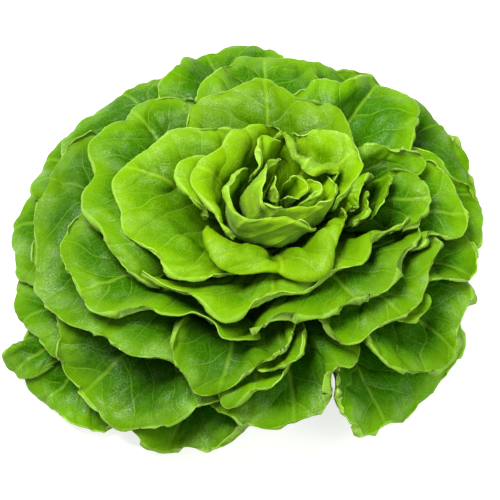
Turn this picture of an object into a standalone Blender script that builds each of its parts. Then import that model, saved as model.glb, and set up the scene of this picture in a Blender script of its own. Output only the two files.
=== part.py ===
import math

import bpy
import numpy as np

# A butterhead lettuce standing on its cut stalk, lengths in millimetres.
CENTRE_HEIGHT = 14.0  # height of the growing point above the cut
CROWN_RADIUS = 91.0  # growing point to the top of the heart
SKIRT_RADIUS = 141.0  # growing point to the lowest rims
SKIRT_CURVE = 3.5
LEAN_RIGHT = 0.255  # sideways lean of the heart per millimetre of height
LEAN_FRONT = 0.196
BLADE = 0.8  # leaf thickness
NECK_RADIUS = 18.7  # where the leaves leave the stalk
STALK_RADIUS = 17.6
CUT_RADIUS = 15.4
STALK_SIDES = 28
BASE_SHARE = 0.25  # width of a leaf at its base over its width at the rim
END_TUCK = 0.12  # how far the two ends of a rim drop under their neighbours
RISE = 1.95  # how soon a leaf reaches the outside of the head, higher for a puffed leaf, lower for a cup
DROOP = 1.2  # how far a rim falls below the crest of its leaf
RUFFLE = 1.3  # waves of the rim, in degrees either side
WAVE_LENGTH = 44.0  # millimetres of rim to a wave
FIRST_TILT = 6.0  # tilt of the first and last leaf where they leave the stalk
LAST_TILT = 97.0
GAP_BASE = 1.8  # least distance between two leaves, at the stalk, half way and at the rim
GAP_MIDDLE = 4.0
GAP_RIM = 5.0
BEARING_STEP = 3.0
SHARE_STEP = 0.02
SETTLE_ROUNDS = 14

# Leaves from the innermost out. Each rim is a list of (bearing, tilt) in degrees:
# bearing 0 is to the right and 90 to the back, tilt 0 is straight up.
# roll is how far the rim turns outwards, less than 0 for inwards, and a third value is a point's own roll.
# reach is how far the rim stands out from the head. rise, droop and tuck take the place of the values above.
LEAVES = [
    dict(name="heart_bud", tone="heart", roll=0,
         rim=[(232, 4), (290, 4), (350, 4), (410, 4), (470, 4)]),
    dict(name="heart_left_fold", tone="heart", roll=0,
         rim=[(130, 8), (160, 7), (200, 7), (242, 8)]),
    dict(name="heart_right_lobe", tone="heart", roll=3,
         rim=[(294, 8), (330, 9), (358, 10), (380, 9), (400, 8)]),
    dict(name="heart_ring", tone="heart", roll=-7,
         rim=[(92, 17), (122, 12), (161, 10), (210, 11), (240, 11), (282, 10), (310, 12), (336, 15),
              (368, 17), (392, 21)]),
    dict(name="heart_hood_left", tone="heart", roll=3,
         rim=[(150, 15), (135, 17), (122, 21), (110, 26), (100, 30), (91, 31)]),
    dict(name="heart_hood_right", tone="heart", roll=-11, droop=5,
         rim=[(104, 19), (90, 17), (78, 13), (62, 12), (45, 13), (35, 16), (30, 20), (20, 21)]),
    dict(name="heart_collar", tone="heart", roll=-10,
         rim=[(137, 18, -4), (149, 20, -2), (169, 21, -2), (184, 22, -3), (205, 20, -7), (226, 17),
              (242, 15), (260, 14), (278, 15), (294, 17), (308, 20, -6)]),
    dict(name="cup_left", tone="heart", roll=7,
         rim=[(90, 32), (106, 33), (137, 32), (155, 33), (168, 33), (184, 31), (203, 28), (225, 26)]),
    dict(name="cup_right", tone="heart", roll=8,
         rim=[(82, 31), (68, 32), (56, 34), (48, 35), (36, 32), (17, 27), (359, 23), (340, 20)]),
    dict(name="cup_front", tone="heart", roll=12, droop=3, rise=2.2, reach=1.03,
         rim=[(204, 33), (217, 35, 13), (228, 37, 14), (240, 37, 12), (252, 35, 8), (261, 34, 4),
              (270, 36, 9), (278, 36, 12), (287, 35, 9), (299, 31, 6), (314, 27, 10), (331, 24, 7),
              (344, 22, 5)]),
    dict(name="left_inner_small", tone="middle", roll=6,
         rim=[(146, 33), (157, 37), (166, 38), (175, 37), (185, 34), (195, 30)]),
    dict(name="left_inner_broad", tone="middle", roll=9,
         rim=[(112, 34), (128, 40), (149, 49), (162, 52), (177, 55), (188, 53), (204, 49), (218, 48),
              (229, 44), (241, 38)]),
    dict(name="back_arch", tone="middle", roll=9,
         rim=[(142, 44), (132, 50), (119, 52), (97, 51), (86, 46), (75, 44), (61, 41), (47, 38), (32, 34)]),
    dict(name="right_inner_arch", tone="middle", roll=5,
         rim=[(344, 24), (357, 24), (10, 27), (17, 32), (18, 37)]),
    dict(name="right_inner_fold", tone="middle", roll=3,
         rim=[(336, 28), (345, 27), (354, 28), (3, 32)]),
    dict(name="right_cup_edge", tone="middle", roll=-9, rise=1.6,
         rim=[(344, 35), (350, 33), (357, 32), (6, 34), (12, 38), (17, 42)]),
    dict(name="front_band", tone="middle", roll=8, tuck=0.03,
         rim=[(211, 55), (224, 51), (236, 49), (248, 50), (258, 45), (268, 41), (285, 39), (300, 37),
              (319, 37), (330, 37), (338, 39), (344, 44), (350, 49)]),
    dict(name="right_cup", tone="middle", roll=7, rise=1.6, tuck=0.04,
         rim=[(20, 42), (15, 47), (6, 48), (358, 48), (352, 49), (347, 49), (343, 45)]),
    dict(name="right_back_fold", tone="middle", roll=7, rise=1.6,
         rim=[(42, 36), (35, 39), (30, 43), (26, 49), (21, 53), (17, 52), (12, 47)]),
    dict(name="left_crescent", tone="middle", roll=9,
         rim=[(116, 53), (123, 59), (130, 64), (140, 64), (152, 65), (163, 63), (177, 61), (189, 59),
              (199, 56), (219, 53)]),
    dict(name="back_right_broad", tone="middle", roll=9,
         rim=[(90, 47), (77, 53), (66, 58), (57, 68), (50, 68), (43, 63), (33, 58), (22, 51)]),
    dict(name="back_broad", tone="middle", roll=9,
         rim=[(122, 56), (112, 60), (102, 66), (95, 69), (88, 66), (80, 64), (69, 56)]),
    dict(name="front_right_band", tone="middle", roll=9, rise=1.6, tuck=0.04,
         rim=[(259, 53), (266, 49), (281, 48), (296, 48), (312, 48), (328, 48), (337, 47), (343, 46),
              (347, 42)]),
    dict(name="right_broad", tone="middle", roll=9, rise=1.6, tuck=0.04,
         rim=[(22, 49), (16, 55), (12, 58), (5, 61), (357, 62), (350, 63), (347, 59), (346, 54), (343, 49),
              (335, 47)]),
    dict(name="left_low_cup", tone="middle", roll=8, rise=1.6,
         rim=[(168, 61), (178, 65), (188, 68), (200, 69), (210, 67), (218, 64, 6), (226, 57, 2),
              (235, 53, -4), (243, 52, -6), (253, 54, -5), (264, 58, -3)]),
    dict(name="front_right_fold", tone="middle", roll=8, rise=1.6, tuck=0.04,
         rim=[(285, 49), (287, 56), (294, 57), (302, 57), (311, 58), (322, 57), (334, 56), (342, 54),
              (346, 49)]),
    dict(name="front_fold", tone="outer", roll=9, rise=1.6,
         rim=[(234, 58), (239, 63), (244, 68), (250, 71), (257, 70), (263, 64), (269, 58), (277, 53)]),
    dict(name="front_curl", tone="middle", roll=-7,
         rim=[(263, 62), (268, 60), (272, 56), (275, 52), (280, 49)]),
    dict(name="left_wrap", tone="outer", roll=9, rise=1.6,
         rim=[(134, 64), (143, 69), (152, 77), (160, 78), (171, 76), (184, 78), (194, 77), (203, 79),
              (209, 74), (219, 71), (230, 68), (240, 67), (250, 66)]),
    dict(name="front_under_fold", tone="outer", roll=6,
         rim=[(254, 72), (259, 73), (264, 69), (270, 64), (276, 59)]),
    dict(name="right_low", tone="outer", roll=8, rise=1.6,
         rim=[(356, 65), (348, 68), (343, 69), (337, 66), (332, 62), (325, 57)]),
    dict(name="right_skirt", tone="outer", roll=8, rise=1.6,
         rim=[(32, 53), (24, 55), (16, 58), (9, 65), (4, 70), (357, 71), (350, 70), (344, 66)]),
    dict(name="front_right_curl", tone="middle", roll=5, reach=0.98,
         rim=[(311, 59), (317, 62), (322, 62), (325, 59), (326, 56)]),
    dict(name="front_right_skirt", tone="outer", roll=9, rise=1.6,
         rim=[(303, 59), (299, 63), (301, 68), (306, 73), (314, 77), (321, 78), (327, 75), (332, 73),
              (338, 69), (343, 65)]),
    dict(name="front_left_skirt", tone="outer", roll=9, rise=1.6,
         rim=[(199, 79), (207, 79), (214, 82), (221, 87), (231, 89), (239, 89), (246, 84), (251, 78),
              (256, 72), (262, 68)]),
    dict(name="front_skirt", tone="outer", roll=9, rise=1.6,
         rim=[(252, 70), (260, 70), (267, 75), (274, 77), (280, 76), (284, 71), (285, 65), (291, 62),
              (299, 58)]),
    dict(name="front_right_lowest", tone="outer", roll=9, rise=1.6,
         rim=[(290, 62), (288, 72), (290, 78), (293, 83), (298, 88), (304, 92), (311, 94), (318, 93),
              (324, 90), (330, 84), (335, 76)]),
    dict(name="back_upper_skirt", tone="outer", roll=8, reach=1.04,
         rim=[(130, 64), (115, 70), (105, 75), (97, 76), (90, 74), (82, 69)]),
    dict(name="back_right_skirt", tone="outer", roll=8,
         rim=[(88, 71), (79, 70), (72, 70), (62, 73), (50, 75), (42, 72)]),
    dict(name="back_left_skirt", tone="outer", roll=8,
         rim=[(110, 72), (118, 75), (126, 79), (136, 82), (144, 84), (151, 82), (158, 76)]),
    dict(name="left_back_low", tone="outer", roll=8,
         rim=[(136, 86), (145, 88), (154, 88), (162, 85), (170, 80)]),
    dict(name="left_skirt", tone="outer", roll=8,
         rim=[(150, 82), (159, 86), (168, 90), (178, 91), (187, 87), (196, 81)]),
    dict(name="left_front_low", tone="outer", roll=8,
         rim=[(182, 83), (189, 88), (196, 91), (204, 89), (212, 86), (220, 84)]),
    dict(name="front_lowest", tone="outer", roll=7, rise=1.6,
         rim=[(234, 89), (242, 90), (252, 90), (259, 86), (264, 80), (268, 74)]),
    dict(name="left_low_curl", tone="outer", roll=6, reach=1.12,
         rim=[(206, 88), (208, 92), (211, 93), (215, 90)]),
    dict(name="front_left_lowest", tone="outer", roll=7, rise=1.6, reach=1.09,
         rim=[(202, 87), (208, 91), (215, 93), (222, 93), (229, 92), (237, 90)]),
    dict(name="right_back_lower", tone="outer", roll=8,
         rim=[(70, 76), (58, 81), (44, 80), (30, 77), (16, 76), (4, 74)]),
    dict(name="right_lowest", tone="outer", roll=8, reach=0.9,
         rim=[(12, 80), (2, 84), (352, 85), (340, 84), (328, 80)]),
    dict(name="back_lower", tone="outer", roll=8,
         rim=[(134, 86), (122, 87), (108, 86), (94, 84), (80, 83), (66, 82)]),
    dict(name="back_right_lowest", tone="outer", roll=8,
         rim=[(74, 90), (60, 93), (44, 94), (28, 93), (12, 91), (356, 88)]),
    dict(name="back_left_lowest", tone="outer", roll=8,
         rim=[(92, 90), (108, 93), (124, 94), (140, 94), (156, 92), (170, 90)]),
    dict(name="front_hidden", tone="outer", roll=5, reach=0.68,
         rim=[(222, 88), (242, 90), (262, 90), (282, 90), (302, 90), (318, 88)]),
]

TONES = {
    "heart": (0.30, 0.52, 0.02),
    "middle": (0.16, 0.37, 0.02),
    "outer": (0.09, 0.27, 0.02),
    "stalk": (0.62, 0.68, 0.42),
}


def dome(tilt):
    return CROWN_RADIUS + (SKIRT_RADIUS - CROWN_RADIUS) * np.clip(np.sin(tilt), 0, 1) ** SKIRT_CURVE


def place(bearing, tilt, radius):
    rise = radius * np.cos(tilt)
    side = radius * np.sin(tilt)
    lean = np.maximum(rise, 0)
    x = side * np.cos(bearing) + LEAN_RIGHT * lean
    y = side * np.sin(bearing) - LEAN_FRONT * lean
    return np.stack([x, y, rise + CENTRE_HEIGHT], axis=-1)


def ease(value):
    value = np.clip(value, 0, 1)
    return value * value * (3 - 2 * value)


# Bearing, tilt and roll along the rim, a smooth line through its listed points.
def rim_at(leaf, u):
    points = np.array([(*point, leaf["roll"])[:3] for point in leaf["rim"]], float)
    points[:, 0] = np.degrees(np.unwrap(np.radians(points[:, 0])))
    steps = np.diff(points * [0.8, 1.0, 0.0], axis=0)
    along = np.concatenate([[0], np.cumsum(np.hypot(steps[:, 0], steps[:, 1]))])
    at = np.asarray(u) * along[-1]
    slopes = np.gradient(points, along, axis=0)
    i = np.clip(np.searchsorted(along, at, side="right") - 1, 0, len(along) - 2)
    width = (along[i + 1] - along[i])[..., None]
    t = ((at - along[i])[..., None]) / width
    lead = (2 * t**3 - 3 * t**2 + 1) * points[i] + (t**3 - 2 * t**2 + t) * width * slopes[i]
    tail = (3 * t**2 - 2 * t**3) * points[i + 1] + (t**3 - t**2) * width * slopes[i + 1]
    return np.moveaxis(lead + tail, -1, 0)


# Bearing, tilt and share of the dome's radius, before the leaves are kept apart.
def leaf_surface(leaf, u, v):
    rim_bearing, rim_tilt, roll = rim_at(leaf, u)
    first, last = rim_at(leaf, np.array([0.0, 1.0]))[0]
    middle = 0.5 * (first + last)
    end = np.abs(2 * u - 1)
    fan = BASE_SHARE + (1 - BASE_SHARE) * (1 - (1 - v) ** 2.2)
    bearing = middle + (rim_bearing - middle) * fan
    body = rim_tilt - roll * (1 - end**3) * (1 - ease((v - 0.5) / 0.5))
    wave = 2 * math.pi * leaf["waves"] * u + leaf["phase"]
    body = body + RUFFLE * np.sin(wave) * (1 - end**4) * v**4
    tilt = leaf["base_tilt"] + (np.maximum(body, 2) - leaf["base_tilt"]) * ease(0.1 + v / 0.62)
    start = NECK_RADIUS / dome(math.radians(leaf["base_tilt"]))
    reach = leaf.get("reach", 1.0) * (1 - leaf.get("tuck", END_TUCK) * end**5)
    reach = reach + 0.008 * np.cos(wave) * (1 - end**4)
    share = start + (reach - start) * (1 - (1 - v) ** leaf.get("rise", RISE))
    return bearing, tilt, share


def cell_of(bearing, share):
    return (bearing % 360) / BEARING_STEP, share / SHARE_STEP


# Fills the cells next to a leaf with the mean of their neighbours on it.
def spread_once(values, there):
    total = np.zeros_like(values)
    count = np.zeros_like(values)
    for along, down in ((1, 0), (-1, 0), (0, 1), (0, -1), (1, 1), (1, -1), (-1, 1), (-1, -1)):
        total += np.roll(np.where(there, values, 0), (along, down), axis=(0, 1))
        count += np.roll(there.astype(float), (along, down), axis=(0, 1))
    new = ~there & (count > 0)
    return np.where(new, total / np.maximum(count, 1), values), there | new


def leaf_grid(leaf):
    u, v = np.meshgrid(np.linspace(0, 1, 260), np.linspace(0, 1, 130), indexing="ij")
    bearing, tilt, share = leaf_surface(leaf, u, v)
    i, j = cell_of(bearing, share)
    shape = (int(360 / BEARING_STEP), int(1.2 / SHARE_STEP))
    i = np.round(i).astype(int) % shape[0]
    j = np.round(j).astype(int)
    total = np.zeros(shape)
    count = np.zeros(shape)
    np.add.at(total, (i, j), tilt)
    np.add.at(count, (i, j), 1)
    values, there = total / np.maximum(count, 1), count > 0
    for _ in range(2):
        values, there = spread_once(values, there)
    return values, there


def radius_of(tilt):
    share = np.arange(tilt.shape[-1]) * SHARE_STEP
    return np.maximum(share * dome(np.radians(np.clip(tilt, 0, 100))), NECK_RADIUS)


def gap_at(tilt):
    share = np.arange(tilt.shape[-1]) * SHARE_STEP
    gap = np.interp(share, [0.15, 0.4, 0.8, 0.95], [GAP_BASE, GAP_MIDDLE, GAP_MIDDLE, GAP_RIM])
    return np.degrees(gap / radius_of(tilt))


# The nearest tilts at which every leaf clears the ones inside it, partly pushed out and partly pushed in.
def ordered(tilts, masks):
    outwards = tilts.copy()
    edge = np.full(tilts.shape[1:], -1e3)
    for k in range(len(tilts)):
        outwards[k] = np.where(masks[k], np.maximum(tilts[k], edge + gap_at(tilts[k])), tilts[k])
        edge = np.where(masks[k], outwards[k], edge)
    inwards = tilts.copy()
    edge = np.full(tilts.shape[1:], 1e3)
    for k in reversed(range(len(tilts))):
        inwards[k] = np.where(masks[k], np.minimum(tilts[k], edge - gap_at(tilts[k])), tilts[k])
        edge = np.where(masks[k], inwards[k], edge)
    return 0.65 * outwards + 0.35 * inwards


def smoothed(values, mask):
    total = np.where(mask, values, 0)
    count = mask.astype(float)
    for axis in (0, 1):
        total = total + np.roll(total, 1, axis) + np.roll(total, -1, axis)
        count = count + np.roll(count, 1, axis) + np.roll(count, -1, axis)
    return np.where(mask, total / np.maximum(count, 1), 0)


# Millimetres from each leaf to the nearest one on either side of it.
def room_around(tilts, masks):
    rooms = np.full(tilts.shape, 40.0)
    for order in (range(len(tilts)), reversed(range(len(tilts)))):
        edge = np.full(tilts.shape[1:], np.nan)
        for k in order:
            apart = np.radians(np.abs(tilts[k] - edge)) * radius_of(tilts[k])
            rooms[k] = np.where(masks[k] & ~np.isnan(edge), np.minimum(rooms[k], apart), rooms[k])
            edge = np.where(masks[k], tilts[k], edge)
    return rooms


def keep_apart(leaves):
    grids = [leaf_grid(leaf) for leaf in leaves]
    first = np.array([grid[0] for grid in grids])
    masks = np.array([grid[1] for grid in grids])
    tilts = first.copy()
    for _ in range(SETTLE_ROUNDS):
        change = ordered(tilts, masks) - tilts
        tilts += np.array([smoothed(c, m) for c, m in zip(change, masks)])
    tilts = ordered(tilts, masks)
    rooms = room_around(tilts, masks)
    for k, leaf in enumerate(leaves):
        change, mask = tilts[k] - first[k], masks[k]
        room, around = smoothed(rooms[k], mask), mask
        for _ in range(3):
            change, mask = spread_once(change, mask)
            room, around = spread_once(room, around)
        leaf["shift"] = change
        leaf["room"] = room


def sampled(grid, bearing, share):
    i, j = cell_of(bearing, share)
    i0 = np.floor(i).astype(int)
    j0 = np.clip(np.floor(j).astype(int), 0, grid.shape[1] - 2)
    a, b = i - i0, j - j0
    i0 = i0 % grid.shape[0]
    i1 = (i0 + 1) % grid.shape[0]
    low = grid[i0, j0] * (1 - a) + grid[i1, j0] * a
    high = grid[i0, j0 + 1] * (1 - a) + grid[i1, j0 + 1] * a
    return low * (1 - b) + high * b


def leaf_points(leaf, u, v):
    bearing, tilt, share = leaf_surface(leaf, u, v)
    tilt = np.radians(tilt + sampled(leaf["shift"], bearing, share))
    room = sampled(leaf["room"], bearing, share)
    droop = leaf.get("droop", DROOP) * np.clip(rim_at(leaf, u)[2] / 6, 0, 1)
    if leaf["roll"] < 0 and "droop" in leaf:
        droop = leaf["droop"] + 0 * u
    droop = np.minimum(np.maximum(room - GAP_MIDDLE, 0), droop) * ease((v - 0.7) / 0.5) * 2
    return place(np.radians(bearing), tilt, share * dome(tilt) - droop)


# Waves along the rim, from its length on the dome.
def wave_count(leaf):
    u = np.linspace(0, 1, 60)
    bearing, tilt, _ = rim_at(leaf, u)
    tilt = np.radians(tilt)
    points = place(np.radians(bearing), tilt, dome(tilt))
    return np.linalg.norm(np.diff(points, axis=0), axis=1).sum() / WAVE_LENGTH


def rim_length(leaf):
    u = np.linspace(0, 1, 60)
    points = leaf_points(leaf, u, np.ones(60))
    return np.linalg.norm(np.diff(points, axis=0), axis=1).sum()


def make_material(tone):
    material = bpy.data.materials.new("leaf_" + tone if tone != "stalk" else "cut_stalk")
    material.use_nodes = True
    shader = material.node_tree.nodes["Principled BSDF"]
    shader.inputs["Base Color"].default_value = (*TONES[tone], 1)
    shader.inputs["Roughness"].default_value = 0.45
    material.diffuse_color = (*TONES[tone], 1)
    return material


def add_object(name, points, faces, tone):
    mesh = bpy.data.meshes.new(name)
    mesh.from_pydata([tuple(p) for p in points * 0.001], [], faces)
    mesh.validate()
    mesh.materials.append(make_material(tone))
    mesh.shade_smooth()
    body = bpy.data.objects.new(name, mesh)
    bpy.context.scene.collection.objects.link(body)
    return body


# Triangles of a closed sheet: the upper face, the same triangles under it, and its edge.
def sheet_faces(columns, rows):
    across = rows + 1
    under = (columns + 1) * across
    faces = []
    for i in range(columns):
        for j in range(rows):
            a, b = i * across + j, (i + 1) * across + j
            for tri in ((a, b, b + 1), (a, b + 1, a + 1)):
                faces.append(tri)
                faces.append(tuple(n + under for n in reversed(tri)))
    border = [i * across for i in range(columns)]
    border += [columns * across + j for j in range(rows)]
    border += [i * across + rows for i in range(columns, 0, -1)]
    border += [j for j in range(rows, 0, -1)]
    for a, b in zip(border, border[1:] + border[:1]):
        faces.append((a, a + under, b + under))
        faces.append((a, b + under, b))
    return faces


def build_leaf(leaf):
    columns = int(np.clip(round(rim_length(leaf) / 12.6), 7, 18))
    rows = np.array([0, 0.15, 0.33, 0.51, 0.69, 0.85, 1.0])
    u, v = np.meshgrid(np.linspace(0, 1, columns + 1), rows, indexing="ij")
    points = leaf_points(leaf, u, v)
    normal = np.cross(np.gradient(points, axis=0), np.gradient(points, axis=1))
    normal /= np.linalg.norm(normal, axis=-1, keepdims=True)
    upper = (points + 0.5 * BLADE * normal).reshape(-1, 3)
    under = (points - 0.5 * BLADE * normal).reshape(-1, 3)
    faces = sheet_faces(columns, len(rows) - 1)
    add_object(leaf["name"], np.concatenate([upper, under]), faces, leaf["tone"])


def build_stalk():
    rings = [(CUT_RADIUS, 0), (STALK_RADIUS - 0.7, 1.4), (STALK_RADIUS - 0.1, 6.0)]
    turn = np.linspace(0, 2 * math.pi, STALK_SIDES, endpoint=False)
    points = [np.array([[0, 0, 0.0]])]
    for radius, height in rings:
        points.append(np.stack([radius * np.cos(turn), radius * np.sin(turn), 0 * turn + height], -1))
    for tilt in np.radians([90, 75, 60, 45, 30, 15]):
        points.append(place(turn, tilt + 0 * turn, STALK_RADIUS))
    points.append(place(np.array([0.0]), np.array([0.0]), STALK_RADIUS))
    levels = len(points) - 2
    top = 1 + levels * STALK_SIDES
    faces = []
    for i in range(STALK_SIDES):
        k = (i + 1) % STALK_SIDES
        faces.append((0, 1 + k, 1 + i))
        faces.append((top, top - STALK_SIDES + i, top - STALK_SIDES + k))
        for j in range(levels - 1):
            a, b = 1 + j * STALK_SIDES, 1 + (j + 1) * STALK_SIDES
            faces.append((a + i, a + k, b + k))
            faces.append((a + i, b + k, b + i))
    add_object("stalk", np.concatenate(points), faces, "stalk")


def main():
    for item in list(bpy.data.objects):
        bpy.data.objects.remove(item)
    for k, leaf in enumerate(LEAVES):
        leaf["base_tilt"] = FIRST_TILT + (LAST_TILT - FIRST_TILT) * k / (len(LEAVES) - 1)
        leaf["waves"] = wave_count(leaf)
        leaf["phase"] = 2.4 * k
    keep_apart(LEAVES)
    for leaf in LEAVES:
        build_leaf(leaf)
    build_stalk()


main()
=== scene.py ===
import math

import bpy
import numpy as np
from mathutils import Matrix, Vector


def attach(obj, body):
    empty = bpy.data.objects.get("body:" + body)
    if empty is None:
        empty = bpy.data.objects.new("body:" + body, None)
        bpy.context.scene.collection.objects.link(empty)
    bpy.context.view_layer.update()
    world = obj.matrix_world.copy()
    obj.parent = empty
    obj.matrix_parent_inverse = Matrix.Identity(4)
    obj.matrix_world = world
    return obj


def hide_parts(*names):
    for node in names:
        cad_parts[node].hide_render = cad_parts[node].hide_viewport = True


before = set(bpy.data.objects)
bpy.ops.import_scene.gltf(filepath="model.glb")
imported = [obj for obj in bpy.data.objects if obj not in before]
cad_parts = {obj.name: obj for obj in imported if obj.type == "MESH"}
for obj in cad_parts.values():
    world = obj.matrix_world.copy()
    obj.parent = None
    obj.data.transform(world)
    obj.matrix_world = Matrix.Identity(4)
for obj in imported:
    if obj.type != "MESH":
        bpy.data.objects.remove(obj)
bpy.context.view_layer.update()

print("frame loaded:", len(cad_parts), "solids")

# The head as a whole, in millimetres and degrees, as in the solids
head = dict(
    crownRadius=91.0, skirtRadius=141.0, skirtCurve=3.5,  # the dome on which the rims lie
    centreHeight=14.0,  # the middle of the dome above the table
    leanRight=0.255, leanFront=0.196,  # how far the top leans, for each millimetre of height
    neckRadius=18.7,  # where the leaves leave the stalk
    firstTilt=6.0, lastTilt=97.0)  # at the stalk, of the innermost and of the outermost leaf

# How a leaf grows; u runs along its rim, and v from 0 at the stalk to 1 at the rim
growth = dict(
    rise=1.95,  # how early it gains its full reach
    baseShare=0.25, fanPower=2.2,  # how broad it is at the stalk, and how early it widens
    baseTurn=0.1, fullTurn=0.62,  # turned at the stalk, and v over which it gains its tilt
    rollStart=0.5,  # v at which the rim begins to roll
    leastTilt=2.0,
    endTuck=0.12,  # how far the ends of the rim draw in
    ruffle=1.3, reachRuffle=0.008, waveLength=44.0,  # broad waves of the rim
    phaseStep=2.4,  # from one leaf to the next, so that no two wave alike
    bearingWeight=0.8,  # bearing against tilt, in the spacing of the rim's points
    droop=1.2, droopGain=2.0, droopStart=0.7, droopSpan=0.5,  # of a rolled rim
    droopRoll=6.0, droopRoom=4.0)  # roll that droops in full, and space kept below the droop

# How the leaves are kept apart, in cells of bearing and of share of the way to the dome
packing = dict(
    bearingStep=3.0, shareStep=0.02, mostShare=1.2,
    acrossSamples=260, alongSamples=130,
    gapShares=[0.15, 0.4, 0.8, 0.95], gaps=[1.8, 4.0, 4.0, 5.0],  # gaps wanted, in millimetres
    outwardPart=0.65, inwardPart=0.35,  # how much leaves give way each way
    settleRounds=14, openRoom=40.0)  # room where no other leaf is near

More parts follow.
